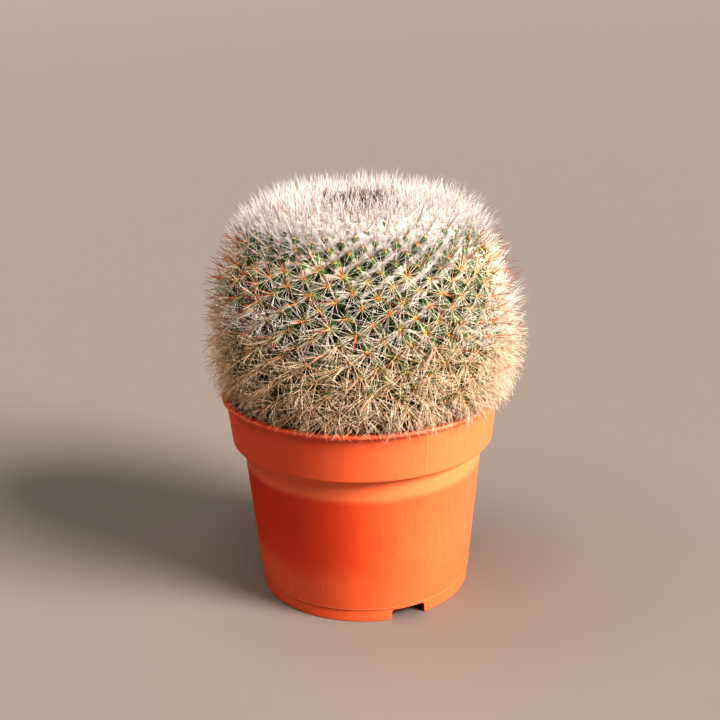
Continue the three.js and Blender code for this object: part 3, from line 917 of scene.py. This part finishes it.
spine_tree, spine = new_tree("spine_tufts", {
    "Pattern": "Object", "Count": "Int", "Missing": "Float", "Length": "Float",
    "Variation": "Float", "Least Tilt": "Float", "Most Tilt": "Float", "Foot": "Float",
    "Thickness": "Float", "Lean": "Float", "Bow": "Float", "Droop": "Float", "Comb": "Float",
    "Wave": "Float", "Stray": "Float", "Seed": "Int", "Material": "Material"})
wires = spine["Geometry"]
# Each areole is copied for each of its spines. Their aims are spread round it, and drawn together
# along the spiral by the comb.
copies = wires.node("GeometryNodeDuplicateElements", {"domain": "POINT"}, Geometry=wires,
                    Amount=spine["Count"])
copies = stored(copies, "order", "FLOAT", copies.out("Duplicate Index") * 1.0)
copies = wires.node("GeometryNodeDeleteGeometry", {"domain": "POINT"}, Geometry=copies,
                    Selection=chance(wires, 0.0, 1.0, spine["Seed"]) < spine["Missing"])
turn = (named(wires, "order") + chance(
    wires, -0.6, 0.6, spine["Seed"] + 1)) * FULL_TURN / spine["Count"]
turn = turn - wires.math("SINE", (turn - SPIRAL_TURN) * 2) * spine["Comb"]
tilt = chance(wires, 0.0, 1.0, spine["Seed"] + 2)
tilt = spine["Least Tilt"] + tilt * (spine["Most Tilt"] - spine["Least Tilt"])
slant = wires.math("SINE", tilt)
aim = to_vector(wires, slant * wires.math("COSINE", turn), slant * wires.math("SINE", turn),
                wires.math("COSINE", tilt))
aim = wires.node("FunctionNodeRotateVector", {}, aim, named(wires, "facing", "QUATERNION"))
root = times(aim, spine["Foot"] * named(wires, "size") * chance(
    wires, 0.5, 1.5, spine["Seed"] + 8))
for change in (times(named_vector(wires, "lean"), spine["Lean"]),
               times(any_way(wires, spine["Seed"] + 6), spine["Stray"]),
               times(named_vector(wires, "tuft"), spine["Stray"] * TUFTING)):
    aim = vector(wires, "ADD", aim, change)
aim = vector(wires, "NORMALIZE", aim)
length = spine["Length"] * named(wires, "size") * (
    1 + spine["Variation"] * chance(wires, -1.0, 1.0, spine["Seed"] + 3))
bow = vector(wires, "ADD", times(any_way(wires, spine["Seed"] + 4), length * spine["Bow"]),
             to_vector(wires, 0.0, 0.0, length * spine["Droop"] * -1))
sway = times(any_way(wires, spine["Seed"] + 7), length * spine["Wave"])
for name, kind, value in (
        ("sway", "FLOAT_VECTOR", sway), ("bow", "FLOAT_VECTOR", bow),
        ("aim", "FLOAT_VECTOR", aim), ("reach", "FLOAT", length),
        ("tone", "FLOAT", chance(wires, 0.0, 1.0, spine["Seed"] + 5))):
    copies = stored(copies, name, kind, value)
copies = shifted(copies, root)
spines = planted(copies, spine["Pattern"], spine["Thickness"] * (
    0.6 + 0.4 * named(wires, "size")))
# Once real, each spine bends: the bow takes its tip aside, the sway its middle.
along = named(wires, "along")
spines = shifted(spines, times(named_vector(wires, "bow"), along * along))
spines = shifted(spines, times(named_vector(wires, "sway"),
                               wires.math("SINE", along * math.pi * 1.5)))
finish_tree(stored_map(clear_of_pot(within_reach(spines)), along), spine["Material"])


def spine_finish(name, pale, deep, roughness=0.45):
    """Horn-like spines. Pale and deep are each the colour at the foot, the middle and the tip."""
    material, shader, wires = new_finish(name, Specular_IOR_Level=0.4, Roughness=roughness)
    along, tone = attribute(wires, "along"), attribute(wires, "tone")
    ends = []
    for foot, middle, tip in (pale, deep):
        ends.append(wires.node("ShaderNodeValToRGB", {"stops": [
            (0.0, shade(foot)), (0.12, shade(foot)), (0.35, shade(middle)),
            (0.7, shade(middle)), (0.95, shade(tip))]}, along))
    wires.feed(shader.inputs["Base Color"], tone.blend(*ends))
    return material


def spine_piece(name, chosen, lean, node, pattern, material, sizes, least_size=0.0):
    """One piece of spines on the chosen areoles."""
    centres = areole_points(name + "_centres", chosen, lean, least_size)
    piece = grown(name, centres, spine_tree, {**sizes, "Pattern": pattern, "Material": material})
    bpy.data.objects.remove(centres)
    smooth_shaded(piece)
    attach(piece, "root")
    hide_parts(node)


def between(low, high):
    """The areoles from one age to another, with an uneven border."""
    return (border >= low) & (border < high)


border = tip_age + BORDER_SPREAD * stem_random.standard_normal(len(pairs))
fine_spine = spine_pattern("fine_spine_pattern", [(0.06, 1.0), (0.45, 0.85), (0.78, 0.55)], 3)
bent_spine = spine_pattern(
    "bent_spine_pattern", [(0.05, 1.0), (0.28, 0.95), (0.52, 0.85), (0.76, 0.6)], 3)
RADIAL = {"Missing": 0.1, "Length": 7.2 * MM, "Variation": 0.3, "Least Tilt": math.radians(48),
          "Most Tilt": math.radians(90), "Foot": 0.5 * MM, "Thickness": 0.078 * MM, "Lean": 0.0,
          "Bow": 0.2, "Droop": 0.0, "Comb": 0.0, "Wave": 0.02, "Stray": 0.14}
TANGLED = {**RADIAL, "Bow": 0.26, "Wave": 0.04}
young_horn = spine_finish("young_radial_horn", ("f8e4c4", "fcf6ec", "f6eada"),
                          ("e8ca9c", "e2d2ba", "bca284"))
grey_horn = spine_finish("grey_radial_horn", ("f2e4cc", "fbf6f0", "f2eadc"),
                         ("c8b092", "cabeae", "968674"))
old_horn = spine_finish("old_radial_horn", ("f4e0c4", "fcf0de", "f2dec2"),
                        ("c8a480", "ccb092", "927458"))
for name, low, high, pattern, material, sizes in (
        ("upper", 0.47, 0.53, fine_spine, young_horn, {
            **RADIAL, "Seed": 20, "Count": 38, "Lean": 0.2, "Comb": 0.2, "Stray": 0.24}),
        ("middle", 0.53, 0.61, fine_spine, grey_horn, {
            **RADIAL, "Seed": 30, "Count": 36, "Length": 7.4 * MM, "Comb": 0.36, "Wave": 0.03,
            "Stray": 0.3}),
        ("lower", 0.61, 0.71, bent_spine, grey_horn, {
            **TANGLED, "Seed": 40, "Count": 48, "Length": 8.9 * MM, "Foot": 1.2 * MM,
            "Least Tilt": math.radians(38), "Comb": 0.36, "Stray": 0.46}),
        ("low", 0.71, 0.81, bent_spine, old_horn, {
            **TANGLED, "Seed": 45, "Count": 50, "Length": 10 * MM, "Foot": 1.5 * MM,
            "Least Tilt": math.radians(32), "Droop": 0.04, "Comb": 0.3, "Stray": 0.56,
            "Lean": -0.1}),
        ("lowest", 0.81, 0.91, bent_spine, old_horn, {
            **TANGLED, "Seed": 50, "Count": 52, "Length": 10 * MM, "Foot": 1.8 * MM,
            "Least Tilt": math.radians(26), "Droop": 0.08, "Comb": 0.15, "Stray": 0.58,
            "Lean": -0.3}),
        ("over_lip", 0.91, 2, bent_spine, old_horn, {
            **TANGLED, "Seed": 55, "Count": 54, "Length": 9.4 * MM, "Foot": 1.8 * MM,
            "Least Tilt": math.radians(25), "Droop": 0.12, "Stray": 0.46, "Lean": -0.42})):
    spine_piece("radial_spines_" + name, between(low, high), upward, "stem",
                pattern, material, sizes)

# ---- Central spines ----
# Two or three stout spines stand out from the middle of each areole: orange at the foot, red-brown
# to nearly black at the tip. The upper ones point up, the lower ones down and outward.
stout_spine = spine_pattern(
    "stout_spine_pattern", [(0.04, 1.0), (0.25, 0.92), (0.55, 0.72), (0.82, 0.42)], 4)
CENTRAL = {"Count": 2, "Missing": 0.15, "Length": 8.6 * MM, "Variation": 0.25,
           "Least Tilt": math.radians(10), "Most Tilt": math.radians(48), "Foot": 0.3 * MM,
           "Thickness": 0.15 * MM, "Lean": 0.35, "Bow": 0.08, "Droop": 0.0, "Comb": 0.0,
           "Wave": 0.01, "Stray": 0.15}
red_horn = spine_finish("red_brown_horn", ("f4b868", "c06238", "501c16"),
                        ("e4944a", "8e3c26", "2e0e0c"), 0.35)
tan_horn = spine_finish("tan_brown_horn", ("f0bc80", "d09a6c", "945a3e"),
                        ("dc9450", "a8683c", "5a3020"), 0.4)
for name, low, high, lean, material, sizes in (
        ("upper", 0.44, 0.53, upward, red_horn, {"Seed": 60, "Count": 3}),
        ("middle", 0.53, 0.74, upward, red_horn, {
            "Seed": 70, "Lean": 0.05, "Count": 3, "Length": 9.6 * MM, "Missing": 0.25}),
        ("lower", 0.74, 2, -upward, tan_horn, {
            "Seed": 80, "Length": 10.6 * MM, "Lean": 0.3, "Bow": 0.14, "Missing": 0.2,
            "Thickness": 0.13 * MM})):
    spine_piece("central_spines_" + name, between(low, high), lean, "stem",
                stout_spine, material, {**CENTRAL, **sizes})

# ---- Axil wool ----
# White wool grows in the valleys between the younger tubercles. It lies in bands along the
# spirals that rise to the right, thick near the crown and thinning out further down.
BAND_WIDTH = 0.19  # half of it, as a share of the distance between two spirals
BAND_TOP = 0.1  # how deep the top of the fullest wool lies under the tubercles' tips
BAND_BOTTOM = 5.4
BAND_THINNING = 4.6  # how much deeper the thinnest wool lies
BAND_LUMPS = 2.2
BAND_AGES = 0.33, 0.58
BAND_END, BAND_FADE = 0.575, 0.12  # the wool gets thinner over the fade, before the end, in age
SUNNY_SIDE = math.radians(-58)  # the wool is thickest here
SUNNY_FOCUS = 7
SHADY_WOOL = 0.14  # what is left of it on the other side
# Each stretch of a band is a flat tube in a valley: run goes along it, and swell across its top.
woolly_pairs = np.flatnonzero((tip_age > BAND_AGES[0]) & (tip_age < BAND_AGES[1]))
run, swell = np.meshgrid(np.linspace(-0.5, 0.5, 5), np.linspace(-1, 1, 7), indexing="ij")
lane = 0.5 + swell * BAND_WIDTH
band_level = pairs[woolly_pairs, None, None] + run * SHALLOW + lane * STEEP
band_angle = turns[woolly_pairs, None, None] + run * SHALLOW_TURN + lane * STEEP_TURN
surface, _ = place_at(band_level, band_angle, np.zeros(band_level.shape))
lumps = np.array([noise.noise(Vector(p) * 0.45) + 0.5 * noise.noise(Vector(p) * 1.3)
                  for p in surface.reshape(-1, 3)]).reshape(band_level.shape)
sunny = (0.5 + 0.5 * np.cos(band_angle - SUNNY_SIDE)) ** SUNNY_FOCUS
# Two crossing waves break the bands up into patches.
patchy = np.clip(1.1 + 1.6 * np.sin(5 * band_angle + 0.31 * band_level) * np.sin(
    3 * band_angle - 0.17 * band_level), 0.1, 1)
strength = np.clip((BAND_END - age_at(band_level)) / BAND_FADE, 0, 1) * patchy * (
    SHADY_WOOL + (1 - SHADY_WOOL) * sunny)
crest = BAND_TOP + (1 - strength) * BAND_THINNING - lumps * BAND_LUMPS
depth = crest + (BAND_BOTTOM - crest) * abs(swell) ** 3.5
points, _ = place_at(band_level, band_angle, depth)
rows, columns = run.shape
faces = grid_faces(len(woolly_pairs), rows, columns).tolist()
for start in range(0, len(woolly_pairs) * rows * columns, rows * columns):
    for row in range(rows - 1):
        here, after = start + row * columns, start + (row + 1) * columns
        faces.append((here, here + columns - 1, after + columns - 1, after))
axil_wool = new_piece("axil_wool_bands", points.reshape(-1, 3), faces)
set_values(axil_wool.data, "strength", strength)
body = welded_body(axil_wool)
bmesh.ops.holes_fill(body, edges=[e for e in body.edges if e.is_boundary])
put_back(body, axil_wool)

fleece, shader, wires = new_finish("white_plant_wool", Specular_IOR_Level=0.15)
place = object_place(wires)
fibres = grain(wires, place, 1400, detail=5, roughness=0.75, Distortion=1.5)
tufts = grain(wires, place, 260, detail=4)
x, y, z = parts(place)
off = x - PLANT_SHIFT * MM
# Painted shade: the wool in the crown's middle, round the axis, is painted nearly black.
heart = 1 - ((off * off + y * y) ** 0.5).smooth(0.0075, 0.0145)
# The fibre texture runs from the wool's white to grey, which is painted shade between the fibres.
colour = fibres.smooth(0.3, 0.65).blend(shade("9c958e"), shade("eae6e1"))
colour = (tufts.smooth(0.5, 0.7) * 0.4).blend(colour, shade("a8947c"))
colour = (heart * fibres.smooth(0.3, 0.55) * 0.9).blend(colour, shade("2c2622"))
feed_shader(wires, shader, Base_Color=colour, Roughness=0.85 + fibres * 0.12,
            Normal=bump(wires, fibres + tufts, 0.5))
axil_wool.data.materials.append(fleece)

fibre_tree, fibre = new_tree("wool_fibres", {
    "Pattern": "Object", "Density": "Float", "Length": "Float", "Thickness": "Float",
    "Curl": "Float", "Seed": "Int", "Material": "Material"})
wires = fibre["Geometry"]
spots = wires.node("GeometryNodeDistributePointsOnFaces", {"distribute_method": "RANDOM"},
                   Mesh=wires, Density=fibre["Density"] * named(wires, "strength"),
                   Seed=fibre["Seed"])
aim = vector(wires, "ADD", spots.out("Normal"), any_way(wires, fibre["Seed"] + 1))
length = fibre["Length"] * chance(wires, 0.5, 1.2, fibre["Seed"] + 3)
bow = times(any_way(wires, fibre["Seed"] + 2), length * fibre["Curl"])
for name, kind, value in (
        ("aim", "FLOAT_VECTOR", aim), ("bow", "FLOAT_VECTOR", bow), ("reach", "FLOAT", length),
        ("tone", "FLOAT", chance(wires, 0.0, 1.0, fibre["Seed"] + 4))):
    spots = stored(spots, name, kind, value)
hairs = planted(spots, fibre["Pattern"], fibre["Thickness"])
along = named(wires, "along")
hairs = shifted(hairs, times(named_vector(wires, "bow"),
                             wires.math("SINE", along * math.pi * 1.4)))
finish_tree(stored_map(hairs, along), fibre["Material"])
white_fibre = spine_finish("white_wool_fibre", ("dad4cc", "e2ddd6", "dcd6cd"),
                           ("b0a598", "c2b8ac", "b2a594"), 0.8)


def wool_hairs(name, mat, density, length, seed):
    """Loose fibres on a mat of wool: so many for each square metre of full wool."""
    hairs = grown(name, mat, fibre_tree, {
        "Pattern": fine_spine, "Density": density, "Length": length * MM,
        "Thickness": 0.07 * MM, "Curl": 0.35, "Seed": seed, "Material": white_fibre})
    smooth_shaded(hairs)
    return hairs


axil_hairs = wool_hairs("axil_wool_fibres", axil_wool, 1.6e6, 2.6, 8)
for piece in (axil_wool, axil_hairs):
    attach(piece, "root")
    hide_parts("stem")

# ---- Crown wool ----
# White plant wool fills the crown between the youngest tubercles, whose axils it grew from. It is a
# matted, lumpy cushion, closed underneath, and sinks in between the tubercles at its rim.
WOOL_SIDES = 220
WOOL_RINGS = 70
WOOL_INNER, WOOL_REACH = 0.5, 50  # radii between which its rings stand
WOOL_UNDERSIDE = 6.6  # depth under the tubercles' tips
WOOL_LIFT = 0.5  # how far it stands over the tips
RIM_SHARE, RIM_SINK = 0.16, 5.8  # the outer rings' share, and how deep they sink
WOOL_LUMPS = 1.8
crown_part = slice(1900)  # the outline's first stretch, over which its radius grows
wool_levels = np.interp(np.linspace(WOOL_INNER, WOOL_REACH, WOOL_RINGS),
                        outline[crown_part, 0], ladder[crown_part])
angles = np.arange(WOOL_SIDES) * FULL_TURN / WOOL_SIDES
level_grid, angle_grid = np.meshgrid(wool_levels, angles, indexing="ij")
ring_share = np.linspace(0, 1, WOOL_RINGS)[:, None] * np.ones(WOOL_SIDES)
flat, _ = place_at(level_grid, angle_grid, np.zeros(level_grid.shape))
lumps = np.array([noise.turbulence(Vector(p) * 0.33, 4, False) for p in flat.reshape(-1, 3)])
lumps = lumps.reshape(level_grid.shape)
rim_share = np.clip((ring_share - (1 - RIM_SHARE)) / RIM_SHARE, 0, 1)
sunk = RIM_SINK * rim_share ** 1.3 - WOOL_LIFT
top, _ = place_at(level_grid, angle_grid, sunk - WOOL_LUMPS * (lumps - 0.4))
under, _ = place_at(level_grid, angle_grid, np.full(level_grid.shape, WOOL_UNDERSIDE))
count = WOOL_SIDES * WOOL_RINGS
faces = []
for ring in range(WOOL_RINGS - 1):
    for i in range(WOOL_SIDES):
        after = (i + 1) % WOOL_SIDES
        a, b = ring * WOOL_SIDES, (ring + 1) * WOOL_SIDES
        faces.append((a + i, b + i, b + after, a + after))
        faces.append((count + a + after, count + b + after, count + b + i, count + a + i))
rim = count - WOOL_SIDES
for i in range(WOOL_SIDES):
    after = (i + 1) % WOOL_SIDES
    faces.append((rim + i, rim + i + count, rim + after + count, rim + after))
faces.append(tuple(range(WOOL_SIDES)))
faces.append(tuple(reversed(range(count, count + WOOL_SIDES))))
wool = new_piece("crown_wool_mat", np.concatenate([top.reshape(-1, 3), under.reshape(-1, 3)]),
                 faces)
set_values(wool.data, "strength", np.concatenate([np.ones(count), np.zeros(count)]))
smooth_shaded(wool)
wool.data.materials.append(fleece)
crown_hairs = wool_hairs("crown_wool_fibres", wool, 0.8e6, 3.0, 12)
for piece in (wool, crown_hairs):
    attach(piece, "root")
    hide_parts("crown_wool")

# ---- Fluff on the lip ----
# Loose plant wool that fell from the plant and caught on the pot's lip at the front right. Its fibres
# grow on a strip along the lip that is deleted again.
FLUFF_START, FLUFF_END = math.radians(-53), math.radians(-24)
FLUFF_STEPS = 14
bed_angles = np.linspace(FLUFF_START, FLUFF_END, FLUFF_STEPS)
bed_points = [(radius * math.cos(angle), radius * math.sin(angle), LIP_TOP - 0.1)
              for radius in (BAND_TOP_RADIUS - 0.6, LIP_RADIUS - 0.2) for angle in bed_angles]
bed = new_piece("fluff_bed", bed_points, [
    (i, i + FLUFF_STEPS, i + FLUFF_STEPS + 1, i + 1) for i in range(FLUFF_STEPS - 1)])
set_values(bed.data, "strength", [
    max(0, 0.5 + noise.noise(Vector(point) * 0.3) * 1.6) for point in bed_points])
lip_fluff = wool_hairs("fluff_on_lip", bed, 4.5e6, 3.2, 16)
bpy.data.objects.remove(bed)
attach(lip_fluff, "root")
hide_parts("stem")

# ---- Crown bristles ----
# Dense young spines on the crown, white and straight, that fan up and outward. Among them stand
# thin red-brown centrals. In the hollow in the middle they are still short and greyish brown.
white_horn = spine_finish("white_bristle_horn", ("d6d0ca", "dedbd8", "d8d4d0"),
                          ("a0968c", "b0aaa4", "8c847c"), 0.5)
dark_horn = spine_finish("brown_bristle_horn", ("8a6038", "54483e", "746a60"),
                         ("3a2a20", "2a2420", "403832"), 0.5)
brown_horn = spine_finish("crown_brown_horn", ("e8b06a", "b4764a", "6a3c28"),
                          ("d8904c", "945234", "4c2a20"), 0.4)
BRISTLE = {**RADIAL, "Count": 14, "Length": 9.2 * MM, "Least Tilt": math.radians(4),
           "Most Tilt": math.radians(40), "Lean": 0.17, "Thickness": 0.09 * MM, "Bow": 0.06,
           "Wave": 0.0, "Stray": 0.08, "Variation": 0.4}
shoulder = np.clip((tip_age - 0.2) / 0.14, 0, 1)[:, None]  # 1 where the crown falls off
crown_lean = radial * (1 - 1.6 * shoulder) + upward * 2.6 * shoulder
for name, low, high, lean, pattern, material, sizes, least_size in (
        ("crown_bristles", 0.15, 0.33, crown_lean, fine_spine, white_horn, {
            **BRISTLE, "Seed": 90}, 0.5),
        ("crown_rim_bristles", 0.33, 0.47, crown_lean, fine_spine, white_horn, {
            **BRISTLE, "Seed": 92, "Count": 24, "Length": 8.2 * MM, "Lean": 0.12,
            "Most Tilt": math.radians(76), "Stray": 0.16, "Thickness": 0.085 * MM}, 0.5),
        ("heart_bristles", 0, 0.15, radial, fine_spine, dark_horn, {
            **BRISTLE, "Seed": 95, "Count": 16, "Length": 4.2 * MM}, 0.5),
        ("crown_centrals", 0.13, 0.44, crown_lean, stout_spine, brown_horn, {
            **CENTRAL, "Seed": 100, "Missing": 0.4, "Length": 9.4 * MM, "Lean": 0.17,
            "Thickness": 0.1 * MM}, 0.55)):
    spine_piece(name, between(low, high), lean, "crown_wool", pattern, material,
                sizes, least_size)
for pattern in (fine_spine, bent_spine, stout_spine):
    bpy.data.objects.remove(pattern)

# ---- Studio ----
# A plain pale floor that rises far away, one soft light from the right like a large window, a weak
# one from the upper left, and the camera where the photograph was taken from.
FLOOR_REACH = 60000
FLOOR_RINGS = 16
FLOOR_SIDES = 64
FLOOR_RISE = 0.3  # how high it rises at its edge, as a share of its reach
floor = turned("studio_floor", [
    (FLOOR_REACH * i / FLOOR_RINGS, FLOOR_RISE * FLOOR_REACH * (i / FLOOR_RINGS) ** 3)
    for i in range(FLOOR_RINGS, -1, -1)], FLOOR_SIDES)
smooth_shaded(floor)
pale, _, _ = new_finish("pale_floor", Roughness=0.7, Base_Color=shade("7a736c"))
floor.data.materials.append(pale)

world = bpy.data.worlds.new("studio")
world.use_nodes = True
air = world.node_tree.nodes["Background"]
air.inputs["Color"].default_value = shade("cfc8c0")
air.inputs["Strength"].default_value = 0.05
bpy.context.scene.world = world


def soft_light(name, turn, height, softness, strength, tint):
    """A distant light: degrees to the right of the camera and above the floor, the angle over
    which it spreads, and watts per square metre."""
    lamp = bpy.data.lights.new(name, "SUN")
    lamp.angle, lamp.energy, lamp.color = math.radians(softness), strength, shade(tint)[:3]
    light = bpy.data.objects.new(name, lamp)
    turn, height = math.radians(turn), math.radians(height)
    away = Vector((math.sin(turn) * math.cos(height), -math.cos(turn) * math.cos(height),
                   math.sin(height)))
    light.rotation_euler = away.to_track_quat("Z", "Y").to_euler()
    bpy.context.collection.objects.link(light)


soft_light("window", 61, 33, 26, 5.7, "fffaf8")
soft_light("left_fill", -58, 74, 60, 2.1, "fffaf6")

LENS = 55
SENSOR = 36
TARGET = Vector((-0.5, 0, 100)) * MM
DISTANCE = 471.8 * MM
PITCH = math.radians(18)
ROLL = math.radians(-1.15)
lens = bpy.data.cameras.new("camera")
lens.lens, lens.sensor_width = LENS, SENSOR
camera = bpy.data.objects.new("camera", lens)
back = Vector((0, -math.cos(PITCH), math.sin(PITCH)))
turn = Matrix.Rotation(math.pi / 2 - PITCH, 4, "X") @ Matrix.Rotation(ROLL, 4, "Z")
camera.matrix_world = Matrix.Translation(TARGET + back * DISTANCE) @ turn
bpy.context.collection.objects.link(camera)
bpy.context.scene.camera = camera
bpy.context.scene.view_settings.view_transform = "Standard"
bpy.context.scene.view_settings.look = "Very High Contrast"
